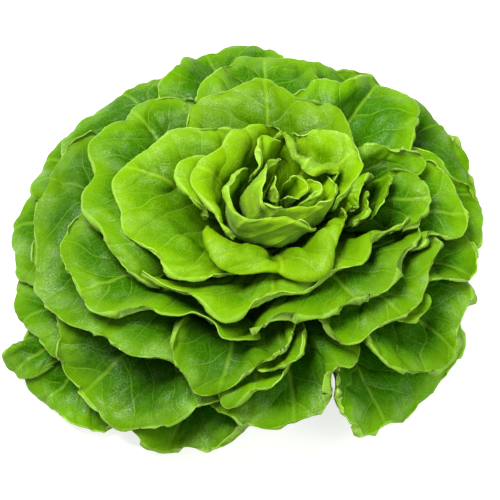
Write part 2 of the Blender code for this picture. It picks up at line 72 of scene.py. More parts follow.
# The leaves, innermost first. A rim is a row of points (bearing, tilt), or (bearing, tilt, roll)
# where the roll changes: bearing 0 is right and 90 back, tilt 0 is straight up. roll is how far
# the rim curls outwards, mid the bearing of the midrib, reach the length against the dome, fold
# the depth of a fold under the rim, fresh the brightness, partly the leaf's own tone and partly
# painted light and shade, inside how soon painted shade darkens the leaf inwards. rise, droop
# and tuck replace rise, droop and endTuck of growth for one leaf.
leaves = [
    dict(name="heart_bud", tone="heart", roll=0, toneAndLight=1.1,
         rim=[(232, 4), (290, 4), (350, 4), (410, 4), (470, 4)]),
    dict(name="heart_left_fold", tone="heart", roll=0, toneAndLight=1.1,
         rim=[(130, 8), (160, 7), (200, 7), (242, 8)]),
    dict(name="heart_right_lobe", tone="heart", roll=3, toneAndLight=1.1,
         rim=[(294, 8), (330, 9), (358, 10), (380, 9), (400, 8)]),
    dict(name="heart_ring", tone="heart", roll=-7, fold=-1.2, toneAndLight=1.05,
         rim=[(92, 17), (122, 12), (161, 10), (210, 11), (240, 11), (282, 10), (310, 12), (336, 15),
              (368, 17), (392, 21)]),
    dict(name="heart_hood_left", tone="heart", roll=3,
         rim=[(150, 15), (135, 17), (122, 21), (110, 26), (100, 30), (91, 31)]),
    dict(name="heart_hood_right", tone="heart", roll=-11, droop=5,
         rim=[(104, 19), (90, 17), (78, 13), (62, 12), (45, 13), (35, 16), (30, 20), (20, 21)]),
    dict(name="heart_collar", tone="heart", roll=-10, fold=-2.0,
         rim=[(137, 18, -4), (149, 20, -2), (169, 21, -2), (184, 22, -3), (205, 20, -7), (226, 17),
              (242, 15), (260, 14), (278, 15), (294, 17), (308, 20, -6)]),
    dict(name="cup_left", tone="heart", roll=7, mid=160, toneAndLight=0.95, inside=0.5,
         rim=[(90, 32), (106, 33), (137, 32), (155, 33), (168, 33), (184, 31), (203, 28),
              (225, 26)]),
    dict(name="cup_right", tone="heart", roll=8, mid=38, inside=0.6,
         rim=[(82, 31), (68, 32), (56, 34), (48, 35), (36, 32), (17, 27), (359, 23), (340, 20)]),
    dict(name="cup_front", tone="heart", roll=12, mid=266, rise=2.2, droop=3, reach=1.03,
         toneAndLight=0.85, inside=0.4,
         rim=[(204, 33), (217, 35, 13), (228, 37, 14), (240, 37, 12), (252, 35, 8), (261, 34, 4),
              (270, 36, 9), (278, 36, 12), (287, 35, 9), (299, 31, 6), (314, 27, 10), (331, 24, 7),
              (344, 22, 5)]),
    dict(name="left_inner_small", tone="inner", roll=6, inside=0.5,
         rim=[(146, 33), (157, 37), (166, 38), (175, 37), (185, 34), (195, 30)]),
    dict(name="left_inner_broad", tone="inner", roll=9, mid=164, inside=0.5,
         rim=[(112, 34), (128, 40), (149, 49), (162, 52), (177, 55), (188, 53), (204, 49),
              (218, 48), (229, 44), (241, 38)]),
    dict(name="back_arch", tone="inner", roll=9, mid=97, toneAndLight=0.85, inside=0.5,
         rim=[(142, 44), (132, 50), (119, 52), (97, 51), (86, 46), (75, 44), (61, 41), (47, 38),
              (32, 34)]),
    dict(name="right_inner_arch", tone="inner", roll=5,
         rim=[(344, 24), (357, 24), (10, 27), (17, 32), (18, 37)]),
    dict(name="right_inner_fold", tone="inner", roll=3,
         rim=[(336, 28), (345, 27), (354, 28), (3, 32)]),
    dict(name="right_cup_edge", tone="middle", roll=-9, rise=1.6,
         rim=[(344, 35), (350, 33), (357, 32), (6, 34), (12, 38), (17, 42)]),
    dict(name="front_band", tone="inner", roll=8, mid=262, tuck=0.03, toneAndLight=0.95, inside=0.9,
         rim=[(211, 55), (224, 51), (236, 49), (248, 50), (258, 45), (268, 41), (285, 39),
              (300, 37), (319, 37), (330, 37), (338, 39), (344, 44), (350, 49)]),
    dict(name="right_cup", tone="middle", roll=7, rise=1.6, tuck=0.04, toneAndLight=0.95, inside=1.0,
         rim=[(20, 42), (15, 47), (6, 48), (358, 48), (352, 49), (347, 49), (343, 45)]),
    dict(name="right_back_fold", tone="middle", roll=7, rise=1.6,
         rim=[(42, 36), (35, 39), (30, 43), (26, 49), (21, 53), (17, 52), (12, 47)]),
    dict(name="left_crescent", tone="middle", roll=9, mid=139, toneAndLight=0.95, inside=0.55,
         rim=[(116, 53), (123, 59), (130, 64), (140, 64), (152, 65), (163, 63), (177, 61),
              (189, 59), (199, 56), (219, 53)]),
    dict(name="back_right_broad", tone="middle", roll=9, mid=57, toneAndLight=1.1, inside=0.8,
         rim=[(90, 47), (77, 53), (66, 58), (57, 68), (50, 68), (43, 63), (33, 58), (22, 51)]),
    dict(name="back_broad", tone="middle", roll=9, mid=92, inside=0.6,
         rim=[(122, 56), (112, 60), (102, 66), (95, 69), (88, 66), (80, 64), (69, 56)]),
    dict(name="front_right_band", tone="middle", roll=9, mid=300, rise=1.6, tuck=0.04, toneAndLight=0.85,
         inside=1.0,
         rim=[(259, 53), (266, 49), (281, 48), (296, 48), (312, 48), (328, 48), (337, 47),
              (343, 46), (347, 42)]),
    dict(name="right_broad", tone="middle", roll=9, rise=1.6, tuck=0.04, toneAndLight=1.05, inside=0.9,
         rim=[(22, 49), (16, 55), (12, 58), (5, 61), (357, 62), (350, 63), (347, 59), (346, 54),
              (343, 49), (335, 47)]),
    dict(name="left_low_cup", tone="middle", roll=8, mid=205, rise=1.6, toneAndLight=0.9,
         rim=[(168, 61), (178, 65), (188, 68), (200, 69), (210, 67), (218, 64, 6), (226, 57, 2),
              (235, 53, -4), (243, 52, -6), (253, 54, -5), (264, 58, -3)]),
    dict(name="front_right_fold", tone="middle", roll=8, mid=312, rise=1.6, tuck=0.04, toneAndLight=0.9,
         inside=1.0,
         rim=[(285, 49), (287, 56), (294, 57), (302, 57), (311, 58), (322, 57), (334, 56),
              (342, 54), (346, 49)]),
    dict(name="front_fold", tone="outer", roll=9, rise=1.6, toneAndLight=0.85,
         rim=[(234, 58), (239, 63), (244, 68), (250, 71), (257, 70), (263, 64), (269, 58),
              (277, 53)]),
    dict(name="front_curl", tone="middle", roll=-7,
         rim=[(263, 62), (268, 60), (272, 56), (275, 52), (280, 49)]),
    dict(name="left_wrap", tone="outer", roll=9, mid=164, rise=1.6, toneAndLight=0.9, inside=0.6,
         rim=[(134, 64), (143, 69), (152, 77), (160, 78), (171, 76), (184, 78), (194, 77),
              (203, 79), (209, 74), (219, 71), (230, 68), (240, 67), (250, 66)]),
    dict(name="front_under_fold", tone="outer", roll=6,
         rim=[(254, 72), (259, 73), (264, 69), (270, 64), (276, 59)]),
    dict(name="right_low", tone="outer", roll=8, rise=1.6, inside=1.0,
         rim=[(356, 65), (348, 68), (343, 69), (337, 66), (332, 62), (325, 57)]),
    dict(name="right_skirt", tone="outer", roll=8, rise=1.6, toneAndLight=1.1,
         rim=[(32, 53), (24, 55), (16, 58), (9, 65), (4, 70), (357, 71), (350, 70), (344, 66)]),
    dict(name="front_right_curl", tone="middle", roll=5, reach=0.98,
         rim=[(311, 59), (317, 62), (322, 62), (325, 59), (326, 56)]),
    dict(name="front_right_skirt", tone="outer", roll=9, rise=1.6, inside=1.0,
         rim=[(303, 59), (299, 63), (301, 68), (306, 73), (314, 77), (321, 78), (327, 75),
              (332, 73), (338, 69), (343, 65)]),
    dict(name="front_left_skirt", tone="outer", roll=9, mid=226, rise=1.6, toneAndLight=0.95,
         rim=[(199, 79), (207, 79), (214, 82), (221, 87), (231, 89), (239, 89), (246, 84),
              (251, 78), (256, 72), (262, 68)]),
    dict(name="front_skirt", tone="outer", roll=9, mid=277, rise=1.6, toneAndLight=0.9,
         rim=[(252, 70), (260, 70), (267, 75), (274, 77), (280, 76), (284, 71), (285, 65),
              (291, 62), (299, 58)]),
    dict(name="front_right_lowest", tone="outer", roll=9, mid=302, rise=1.6, toneAndLight=1.35,
         rim=[(290, 62), (288, 72), (290, 78), (293, 83), (298, 88), (304, 92), (311, 94),
              (318, 93), (324, 90), (330, 84), (335, 76)]),
    dict(name="back_upper_skirt", tone="outer", roll=8, reach=1.04,
         rim=[(130, 64), (115, 70), (105, 75), (97, 76), (90, 74), (82, 69)]),
    dict(name="back_right_skirt", tone="outer", roll=8,
         rim=[(88, 71), (79, 70), (72, 70), (62, 73), (50, 75), (42, 72)]),
    dict(name="back_left_skirt", tone="outer", roll=8, mid=129,
         rim=[(110, 72), (118, 75), (126, 79), (136, 82), (144, 84), (151, 82), (158, 76)]),
    dict(name="left_back_low", tone="outer", roll=8,
         rim=[(136, 86), (145, 88), (154, 88), (162, 85), (170, 80)]),
    dict(name="left_skirt", tone="outer", roll=8,
         rim=[(150, 82), (159, 86), (168, 90), (178, 91), (187, 87), (196, 81)]),
    dict(name="left_front_low", tone="outer", roll=8,
         rim=[(182, 83), (189, 88), (196, 91), (204, 89), (212, 86), (220, 84)]),
    dict(name="front_lowest", tone="outer", roll=7, rise=1.6, toneAndLight=0.85,
         rim=[(234, 89), (242, 90), (252, 90), (259, 86), (264, 80), (268, 74)]),
    dict(name="left_low_curl", tone="outer", roll=6, reach=1.12,
         rim=[(206, 88), (208, 92), (211, 93), (215, 90)]),
    dict(name="front_left_lowest", tone="outer", roll=7, rise=1.6, reach=1.09,
         rim=[(202, 87), (208, 91), (215, 93), (222, 93), (229, 92), (237, 90)]),
    dict(name="right_back_lower", tone="outer", roll=8,
         rim=[(70, 76), (58, 81), (44, 80), (30, 77), (16, 76), (4, 74)]),
    dict(name="right_lowest", tone="outer", roll=8, reach=0.9,
         rim=[(12, 80), (2, 84), (352, 85), (340, 84), (328, 80)]),
    dict(name="back_lower", tone="outer", roll=8,
         rim=[(134, 86), (122, 87), (108, 86), (94, 84), (80, 83), (66, 82)]),
    dict(name="back_right_lowest", tone="outer", roll=8,
         rim=[(74, 90), (60, 93), (44, 94), (28, 93), (12, 91), (356, 88)]),
    dict(name="back_left_lowest", tone="outer", roll=8,
         rim=[(92, 90), (108, 93), (124, 94), (140, 94), (156, 92), (170, 90)]),
    dict(name="front_hidden", tone="outer", roll=5, reach=0.68,
         rim=[(222, 88), (242, 90), (262, 90), (282, 90), (302, 90), (318, 88)]),
]


def dome(tilt):  # from the middle of the dome to its skin
    span = head["skirtRadius"] - head["crownRadius"]
    return head["crownRadius"] + span * np.clip(np.sin(tilt), 0, 1) ** head["skirtCurve"]


def place(bearing, tilt, radius):
    rise = radius * np.cos(tilt)
    side = radius * np.sin(tilt)
    lean = np.maximum(rise, 0)
    x = side * np.cos(bearing) + head["leanRight"] * lean
    y = side * np.sin(bearing) - head["leanFront"] * lean
    return np.stack([x, y, rise + head["centreHeight"]], axis=-1)


def ease(value):  # 0 to 1 with a soft start and end
    value = np.clip(value, 0, 1)
    return value * value * (3 - 2 * value)


def rimAt(leaf, u):  # bearing, tilt and roll on a smooth curve through the rim's points
    points = np.array([(*point, leaf["roll"])[:3] for point in leaf["rim"]], float)
    points[:, 0] = np.degrees(np.unwrap(np.radians(points[:, 0])))
    steps = np.diff(points * [growth["bearingWeight"], 1.0, 0.0], axis=0)
    along = np.concatenate([[0], np.cumsum(np.hypot(steps[:, 0], steps[:, 1]))])
    at = np.asarray(u) * along[-1]
    slopes = np.gradient(points, along, axis=0)
    i = np.clip(np.searchsorted(along, at, side="right") - 1, 0, len(along) - 2)
    width = (along[i + 1] - along[i])[..., None]
    t = ((at - along[i])[..., None]) / width
    lead = (2 * t**3 - 3 * t**2 + 1) * points[i] + (t**3 - 2 * t**2 + t) * width * slopes[i]
    tail = (3 * t**2 - 2 * t**3) * points[i + 1] + (t**3 - t**2) * width * slopes[i + 1]
    return np.moveaxis(lead + tail, -1, 0)


def rimEnds(leaf):
    return rimAt(leaf, np.array([0.0, 1.0]))[0]


def leafSurface(leaf, u, v):
    rimBearing, rimTilt, roll = rimAt(leaf, u)
    first, last = rimEnds(leaf)
    middle = 0.5 * (first + last)
    end = np.abs(2 * u - 1)  # 0 in the middle of the rim, 1 at its ends
    fan = growth["baseShare"] + (1 - growth["baseShare"]) * (1 - (1 - v) ** growth["fanPower"])
    bearing = middle + (rimBearing - middle) * fan
    unrolled = 1 - ease((v - growth["rollStart"]) / (1 - growth["rollStart"]))
    body = rimTilt - roll * (1 - end**3) * unrolled
    wave = 2 * math.pi * leaf["waves"] * u + leaf["phase"]
    body = body + growth["ruffle"] * np.sin(wave) * (1 - end**4) * v**4
    body = np.maximum(body, growth["leastTilt"])
    turn = ease(growth["baseTurn"] + v / growth["fullTurn"])
    tilt = leaf["baseTilt"] + (body - leaf["baseTilt"]) * turn
    start = head["neckRadius"] / dome(math.radians(leaf["baseTilt"]))
    reach = leaf.get("reach", 1.0) * (1 - leaf.get("tuck", growth["endTuck"]) * end**5)
    reach = reach + growth["reachRuffle"] * np.cos(wave) * (1 - end**4)
    share = start + (reach - start) * (1 - (1 - v) ** leaf.get("rise", growth["rise"]))
    return bearing, tilt, share


def cellOf(bearing, share):
    return (bearing % 360) / packing["bearingStep"], share / packing["shareStep"]


def spreadOnce(values, there):  # fills the cells beside a leaf from their neighbours
    total = np.zeros_like(values)
    count = np.zeros_like(values)
    for step in ((1, 0), (-1, 0), (0, 1), (0, -1), (1, 1), (1, -1), (-1, 1), (-1, -1)):
        total += np.roll(np.where(there, values, 0), step, axis=(0, 1))
        count += np.roll(there.astype(float), step, axis=(0, 1))
    new = ~there & (count > 0)
    return np.where(new, total / np.maximum(count, 1), values), there | new


def leafGrid(leaf):  # the tilt of a leaf in each cell that it crosses
    across = np.linspace(0, 1, packing["acrossSamples"])
    along = np.linspace(0, 1, packing["alongSamples"])
    u, v = np.meshgrid(across, along, indexing="ij")
    bearing, tilt, share = leafSurface(leaf, u, v)
    i, j = cellOf(bearing, share)
    shape = (int(360 / packing["bearingStep"]), int(packing["mostShare"] / packing["shareStep"]))
    i = np.round(i).astype(int) % shape[0]
    j = np.round(j).astype(int)
    total = np.zeros(shape)
    count = np.zeros(shape)
    np.add.at(total, (i, j), tilt)
    np.add.at(count, (i, j), 1)
    values = total / np.maximum(count, 1)
    there = count > 0
    for _ in range(2):
        values, there = spreadOnce(values, there)
    return values, there


def sharesOf(tilt):
    return np.arange(tilt.shape[-1]) * packing["shareStep"]


def radiusOf(tilt):
    radius = sharesOf(tilt) * dome(np.radians(np.clip(tilt, 0, 100)))
    return np.maximum(radius, head["neckRadius"])


def gapAt(tilt):  # the angle to the next leaf that keeps the gap wanted there
    gap = np.interp(sharesOf(tilt), packing["gapShares"], packing["gaps"])
    return np.degrees(gap / radiusOf(tilt))


def ordered(tilts, masks):  # each leaf clear of the leaf inside it, and of the one outside it
    outwards = tilts.copy()
    edge = np.full(tilts.shape[1:], -1e3)
    for k in range(len(tilts)):
        clear = np.maximum(tilts[k], edge + gapAt(tilts[k]))
        outwards[k] = np.where(masks[k], clear, tilts[k])
        edge = np.where(masks[k], outwards[k], edge)
    inwards = tilts.copy()
    edge = np.full(tilts.shape[1:], 1e3)
    for k in reversed(range(len(tilts))):
        clear = np.minimum(tilts[k], edge - gapAt(tilts[k]))
        inwards[k] = np.where(masks[k], clear, tilts[k])
        edge = np.where(masks[k], inwards[k], edge)
    return packing["outwardPart"] * outwards + packing["inwardPart"] * inwards


def smoothed(values, mask):
    total = np.where(mask, values, 0)
    count = mask.astype(float)
    for axis in (0, 1):
        total = total + np.roll(total, 1, axis) + np.roll(total, -1, axis)
        count = count + np.roll(count, 1, axis) + np.roll(count, -1, axis)
    return np.where(mask, total / np.maximum(count, 1), 0)


def roomAround(tilts, masks):  # millimetres to the nearest leaf on either side
    rooms = np.full(tilts.shape, packing["openRoom"])
    for order in (range(len(tilts)), reversed(range(len(tilts)))):
        edge = np.full(tilts.shape[1:], np.nan)
        for k in order:
            apart = np.radians(np.abs(tilts[k] - edge)) * radiusOf(tilts[k])
            beside = masks[k] & ~np.isnan(edge)
            rooms[k] = np.where(beside, np.minimum(rooms[k], apart), rooms[k])
            edge = np.where(masks[k], tilts[k], edge)
    return rooms


def keepApart(allLeaves):
    grids = [leafGrid(leaf) for leaf in allLeaves]
    first = np.array([grid[0] for grid in grids])
    masks = np.array([grid[1] for grid in grids])
    tilts = first.copy()
    for _ in range(packing["settleRounds"]):
        change = ordered(tilts, masks) - tilts
        tilts += np.array([smoothed(c, m) for c, m in zip(change, masks)])
    tilts = ordered(tilts, masks)
    rooms = roomAround(tilts, masks)
    for k, leaf in enumerate(allLeaves):
        shift = tilts[k] - first[k]
        room = smoothed(rooms[k], masks[k])
        there = masks[k]
        for _ in range(3):
            shift = spreadOnce(shift, there)[0]
            room, there = spreadOnce(room, there)
        leaf["shift"] = shift
        leaf["room"] = room


def sampled(grid, bearing, share):
    i, j = cellOf(bearing, share)
    i0 = np.floor(i).astype(int)
    j0 = np.clip(np.floor(j).astype(int), 0, grid.shape[1] - 2)
    a = i - i0
    b = j - j0
    i0 = i0 % grid.shape[0]
    i1 = (i0 + 1) % grid.shape[0]
    low = grid[i0, j0] * (1 - a) + grid[i1, j0] * a
    high = grid[i0, j0 + 1] * (1 - a) + grid[i1, j0 + 1] * a
    return low * (1 - b) + high * b


def stepLengths(points, axis):
    return np.linalg.norm(np.diff(points, axis=axis), axis=-1)


def waveCount(leaf):  # broad waves that fit along the rim
    bearing, tilt, _ = rimAt(leaf, np.linspace(0, 1, 60))
    tilt = np.radians(tilt)
    points = place(np.radians(bearing), tilt, dome(tilt))
    return stepLengths(points, 0).sum() / growth["waveLength"]


tiltSpan = head["lastTilt"] - head["firstTilt"]
for k, leaf in enumerate(leaves):
    leaf["baseTilt"] = head["firstTilt"] + tiltSpan * k / (len(leaves) - 1)
    leaf["waves"] = waveCount(leaf)
    leaf["phase"] = growth["phaseStep"] * k
keepApart(leaves)
print("leaves set in order:", len(leaves))

# The relief of a blade: depths, widths and lengths in millimetres, fades over v
relief = dict(
    thickness=0.7,
    quilt=dict(depth=0.75, level=0.5, start=2.0, full=16.0),  # raised between the veins
    crown=dict(side=6.0, cross=5.0, low=0.4),  # how the blade rounds up beside a vein
    crinkle=dict(depth=0.22, length=4.5, seed=7),
    swell=dict(depth=3.0, length=26.0, seed=5),
    crease=dict(depth=3.0, length=15.0, seed=23, level=0.25),
    midGroove=dict(depth=1.0, width=2.6),
    sideGroove=dict(depth=0.5, width=1.5),
    ruffle=dict(depth=0.9, power=10, long=9.0, short=4.0, shortPart=0.4, row=0.0, seed=11),
    scallop=dict(depth=0.7, power=14, long=8.0, short=2.6, shortPart=0.35, row=0.3, seed=17),
    heartPart=0.5,  # of ruffle and scallop, on the small leaves of the heart
    fold=dict(length=0.42, rimFade=0.1, start=0.4, fade=0.15),
    midrib=dict(depth=1.6, width=2.2, end=1.15),
    sideRib=dict(depth=0.35, width=0.9, end=0.97),
    ribRoom=dict(start=2.0, full=7.0, least=0.15),  # ribs grow thinner where leaves lie close
    pushRoom=dict(start=1.5, full=4.5, least=0.2),  # and the relief flatter
    pushLimit=dict(share=0.42, less=0.6, least=0.15),  # never as far as the next leaf
    stalkFade=0.25,
    tableGap=1.0)  # the middle of a blade stays this far above the table

# How fine the blades are made: millimetres to a column along the rim, and rows up the blade
fineness = dict(full=dict(step=1.7, rows=50), quick=dict(step=2.6, rows=30), fewest=44, most=128,
                crowding=1.25, roughColumns=40, roughRows=20)

# The course of the veins in millimetres, the same in the mesh and in the material
veins = dict(
    spacing=17.0, crossSpacing=14.0,
    climb=0.8, flatten=260.0,  # side veins climb to the rim, less so far out
    sway=2.2, swayLength=10.0, shake=1.0, shakeLength=5.0,  # bends across the blade
    drift=2.4, driftLength=13.0, slant=1.3, slantLength=7.0, slantTurn=1.7,  # and along it
    crossShift=0.6, crossTurn=2.1,  # cross veins out of step from one side vein to the next
    inStalk=6.0, mostTurn=1.5)  # where they fan out from, and how far round in radians


def softNoise(x, y, seed):  # smooth value noise, one unit to a cell
    n = 64
    table = np.random.default_rng(seed).uniform(-1, 1, (n, n))
    xi = np.floor(x).astype(int)
    yi = np.floor(y).astype(int)
    a = ease(x - xi)
    b = ease(y - yi)
    low = table[xi % n, yi % n] * (1 - a) + table[(xi + 1) % n, yi % n] * a
    high = table[xi % n, (yi + 1) % n] * (1 - a) + table[(xi + 1) % n, (yi + 1) % n] * a
    return low * (1 - b) + high * b


def bladeNoise(look, x, y, k):
    return softNoise(x / look["length"], y / look["length"], 3 * k + look["seed"])


def rimNoise(look, along, k):  # a long and a short wave along the rim
    seed = 3 * k + look["seed"]
    longWave = softNoise(along / look["long"], 0 * along + look["row"], seed)
    shortWave = softNoise(along / look["short"], 0 * along, seed + 2)
    return longWave + look["shortPart"] * shortWave


def ridge(look, distance):  # highest on a line, fading to both sides
    return look["depth"] * np.exp(-((distance / look["width"]) ** 2))


def roomShare(look, room):
    return np.clip((room - look["start"]) / look["full"], look["least"], 1.0)


def veinMap(x, y, phase):  # millimetres to the nearest side vein and to the nearest cross vein
    wx = x + veins["sway"] * np.sin(y / veins["swayLength"] + phase)
    wx = wx + veins["shake"] * np.sin((x + y) / veins["shakeLength"] + 2 * phase)
    wy = y + veins["drift"] * np.sin(x / veins["driftLength"] + phase)
    slanted = (x - veins["slantTurn"] * y) / veins["slantLength"]
    wy = wy + veins["slant"] * np.sin(slanted - phase)
    away = np.abs(wx)
    lift = wy - veins["climb"] * away * (1 - away / veins["flatten"])
    turn = lift / veins["spacing"] + 0.5 * (wx > 0)
    cell = np.floor(turn + 0.5)
    side = np.abs(turn - np.floor(turn) - 0.5) * veins["spacing"]
    shift = veins["crossShift"] * np.sin(veins["crossTurn"] * cell + phase)
    step = away / veins["crossSpacing"] + shift
    cross = np.abs(step - np.floor(step) - 0.5) * veins["crossSpacing"]
    return side, cross


def bladePoints(leaf, columns, rows):
    t = np.linspace(0, 1, rows + 1)
    rowsAt = 1 - (1 - t) ** fineness["crowding"]  # closer together near the rim
    u, v = np.meshgrid(np.linspace(0, 1, columns + 1), rowsAt, indexing="ij")
    bearing, tilt, share = leafSurface(leaf, u, v)
    tilt = np.radians(tilt + sampled(leaf["shift"], bearing, share))
    room = sampled(leaf["room"], bearing, share)
    droop = leaf.get("droop", growth["droop"])
    if leaf["roll"] >= 0 or "droop" not in leaf:
        droop = droop * np.clip(rimAt(leaf, u)[2] / growth["droopRoll"], 0, 1)
    droop = np.minimum(np.maximum(room - growth["droopRoom"], 0), droop)
    droop = droop * ease((v - growth["droopStart"]) / growth["droopSpan"]) * growth["droopGain"]
    points = place(np.radians(bearing), tilt, share * dome(tilt) - droop)
    return u, v, points, room


def acrossAndAlong(leaf, points, columns):  # millimetres from the midrib and from the base
    noStep = np.zeros((1, points.shape[1]))
    across = np.concatenate([noStep, np.cumsum(stepLengths(points, 0), axis=0)])
    noStep = np.zeros((points.shape[0], 1))
    along = np.concatenate([noStep, np.cumsum(stepLengths(points, 1), axis=1)], axis=1)
    along = along + veins["inStalk"]
    bearings = rimAt(leaf, np.linspace(0, 1, columns + 1))[0]
    halfway = 0.5 * (bearings[0] + bearings[-1])
    middle = leaf.get("mid", halfway)
    middle += 360 * np.round((halfway - middle) / 360)
    column = int(np.argmin(np.abs(bearings - middle)))
    turn = (across - across[column]) / along
    turn = np.clip(turn, -veins["mostTurn"], veins["mostTurn"])
    return along * np.sin(turn), along * np.cos(turn)


def millimetresToRim(points):
    steps = stepLengths(points, 1)[:, ::-1]
    noStep = np.zeros((points.shape[0], 1))
    return np.concatenate([noStep, np.cumsum(steps, axis=1)], axis=1)[:, ::-1]


def unit(vectors):
    return vectors / np.linalg.norm(vectors, axis=-1, keepdims=True)


def dressedBlade(leaf, k):
    detail = fineness["full"]
    sheet = bladePoints(leaf, fineness["roughColumns"], fineness["roughRows"])[2]
    length = stepLengths(sheet[:, -1], 0).sum()  # of the rim
    columns = int(np.clip(length / detail["step"], fineness["fewest"], fineness["most"]))
    u, v, points, room = bladePoints(leaf, columns, detail["rows"])
    x, y = acrossAndAlong(leaf, points, columns)
    normal = unit(np.cross(np.gradient(points, axis=0), np.gradient(points, axis=1)))
    first, last = rimEnds(leaf)
    if last > first:
        normal = -normal  # the upper face looks to the heart
    side, cross = veinMap(x, y, leaf["phase"])
    toRim = millimetresToRim(points)

    # the form between the veins, then dents, grooves over the veins, ruffled rim and fold
    quilt = relief["quilt"]
    low = relief["crown"]["low"]
    crown = ease(side / relief["crown"]["side"])
    crown = crown * (low + (1 - low) * ease(cross / relief["crown"]["cross"]))
    push = quilt["depth"] * (crown - quilt["level"])
    push *= ease((toRim - quilt["start"]) / quilt["full"])
    push += relief["crinkle"]["depth"] * bladeNoise(relief["crinkle"], x, y, k)
    push += relief["swell"]["depth"] * bladeNoise(relief["swell"], x, y, k)
    crease = np.abs(bladeNoise(relief["crease"], x, y, k)) - relief["crease"]["level"]
    push += relief["crease"]["depth"] * crease
    push -= ridge(relief["midGroove"], x)
    push -= ridge(relief["sideGroove"], side)
    small = relief["heartPart"] if leaf["tone"] == "heart" else 1.0
    wave = small * rimNoise(relief["ruffle"], length * u, k)
    push += relief["ruffle"]["depth"] * wave * v ** relief["ruffle"]["power"]
    fold = relief["fold"]
    bend = leaf.get("fold", 0.0) * np.sin(2 * math.pi * (1 - v) / fold["length"])
    push += bend * ease((1 - v) / fold["rimFade"]) * ease((v - fold["start"]) / fold["fade"])
    push *= roomShare(relief["pushRoom"], room) * ease(v / relief["stalkFade"])
    limit = relief["pushLimit"]["share"] * room - relief["pushLimit"]["less"]
    limit = np.maximum(limit, relief["pushLimit"]["least"])
    push = limit * np.tanh(push / limit)

    down = unit(np.gradient(points, axis=1))
    nibble = small * rimNoise(relief["scallop"], length * u, k)
    nibble = relief["scallop"]["depth"] * nibble * v ** relief["scallop"]["power"]
    points = points + normal * push[..., None] + down * nibble[..., None]
    points[..., 2] += np.maximum(relief["tableGap"] - points[..., 2], 0)

    ribPart = roomShare(relief["ribRoom"], room)
    rib = ridge(relief["midrib"], x) * np.clip(relief["midrib"]["end"] - v, 0, 1) * ribPart
    rib += ridge(relief["sideRib"], side) * ribPart * (v < relief["sideRib"]["end"])
    half = 0.5 * relief["thickness"]
    upper = points + normal * half
    under = points - normal * (half + rib)[..., None]
    return upper, under, x, y, toRim, last > first


def sheetFaces(columns, rows, flipped):  # four-sided faces, and 0 upper, 1 under, 2 edge for each
    across = rows + 1
    under = (columns + 1) * across
    i, j = np.meshgrid(np.arange(columns), np.arange(rows), indexing="ij")
    a = (i * across + j).ravel()
    b = a + across
    top = np.stack([a, b, b + 1, a + 1], -1)
    bottom = top[:, ::-1] + under
    border = [n * across for n in range(columns)]
    border += [columns * across + n for n in range(rows)]
    border += [n * across + rows for n in range(columns, 0, -1)]
    border += list(range(rows, 0, -1))
    border = np.array(border)
    following = np.roll(border, -1)
    edge = np.stack([border, border + under, following + under, following], -1)
    faces = np.concatenate([top, bottom, edge])
    if flipped:
        faces = faces[:, ::-1]
    kinds = np.repeat([0, 1, 2], [len(top), len(bottom), len(edge)])
    return faces, kinds


def bladeMesh(name, points, faces, kinds, where, marks, materials):
    mesh = bpy.data.meshes.new(name)
    mesh.vertices.add(len(points))
    mesh.vertices.foreach_set("co", (points * 0.001).astype(np.float32).ravel())
    mesh.loops.add(faces.size)
    mesh.loops.foreach_set("vertex_index", faces.astype(np.int32).ravel())
    mesh.polygons.add(len(faces))
    mesh.polygons.foreach_set("loop_start", np.arange(0, faces.size, 4, dtype=np.int32))
    mesh.polygons.foreach_set("material_index", kinds.astype(np.int32))
    mesh.update(calc_edges=True)
    layer = mesh.uv_layers.new(name="blade")
    layer.data.foreach_set("uv", where[faces.ravel()].astype(np.float32).ravel())
    for key, value in marks.items():
        mark = mesh.attributes.new(key, "FLOAT", "POINT")
        values = np.full(len(points), value)
        mark.data.foreach_set("value", values.astype(np.float32))
    for material in materials:
        mesh.materials.append(material)
    mesh.shade_smooth()
    return mesh


# Leaf colours: blade in the light, darker blade that also serves as painted shade, underside,
# veins, and a margin lightened as painted glow of light through the thin edge
tones = {
    "heart": dict(upper=(0.125, 0.250, 0.0), darkAndShade=(0.058, 0.160, 0.0), under=(0.150, 0.275, 0.002),
                  vein=(0.20, 0.33, 0.010), marginGlow=(0.15, 0.29, 0.001)),
    "inner": dict(upper=(0.094, 0.205, 0.0), darkAndShade=(0.038, 0.125, 0.0), under=(0.110, 0.200, 0.015),
                  vein=(0.15, 0.27, 0.012), marginGlow=(0.125, 0.26, 0.001)),
    "middle": dict(upper=(0.072, 0.178, 0.0), darkAndShade=(0.015, 0.082, 0.0), under=(0.100, 0.185, 0.020),
                   vein=(0.12, 0.24, 0.012), marginGlow=(0.108, 0.24, 0.001)),
    "outer": dict(upper=(0.060, 0.158, 0.0), darkAndShade=(0.013, 0.072, 0.0), under=(0.088, 0.165, 0.020),
                  vein=(0.10, 0.21, 0.012), marginGlow=(0.096, 0.22, 0.001)),
}
everyTone = dict(pale=(0.20, 0.33, 0.010), rim=(0.22, 0.37, 0.05))  # by the stalk, on the very rim

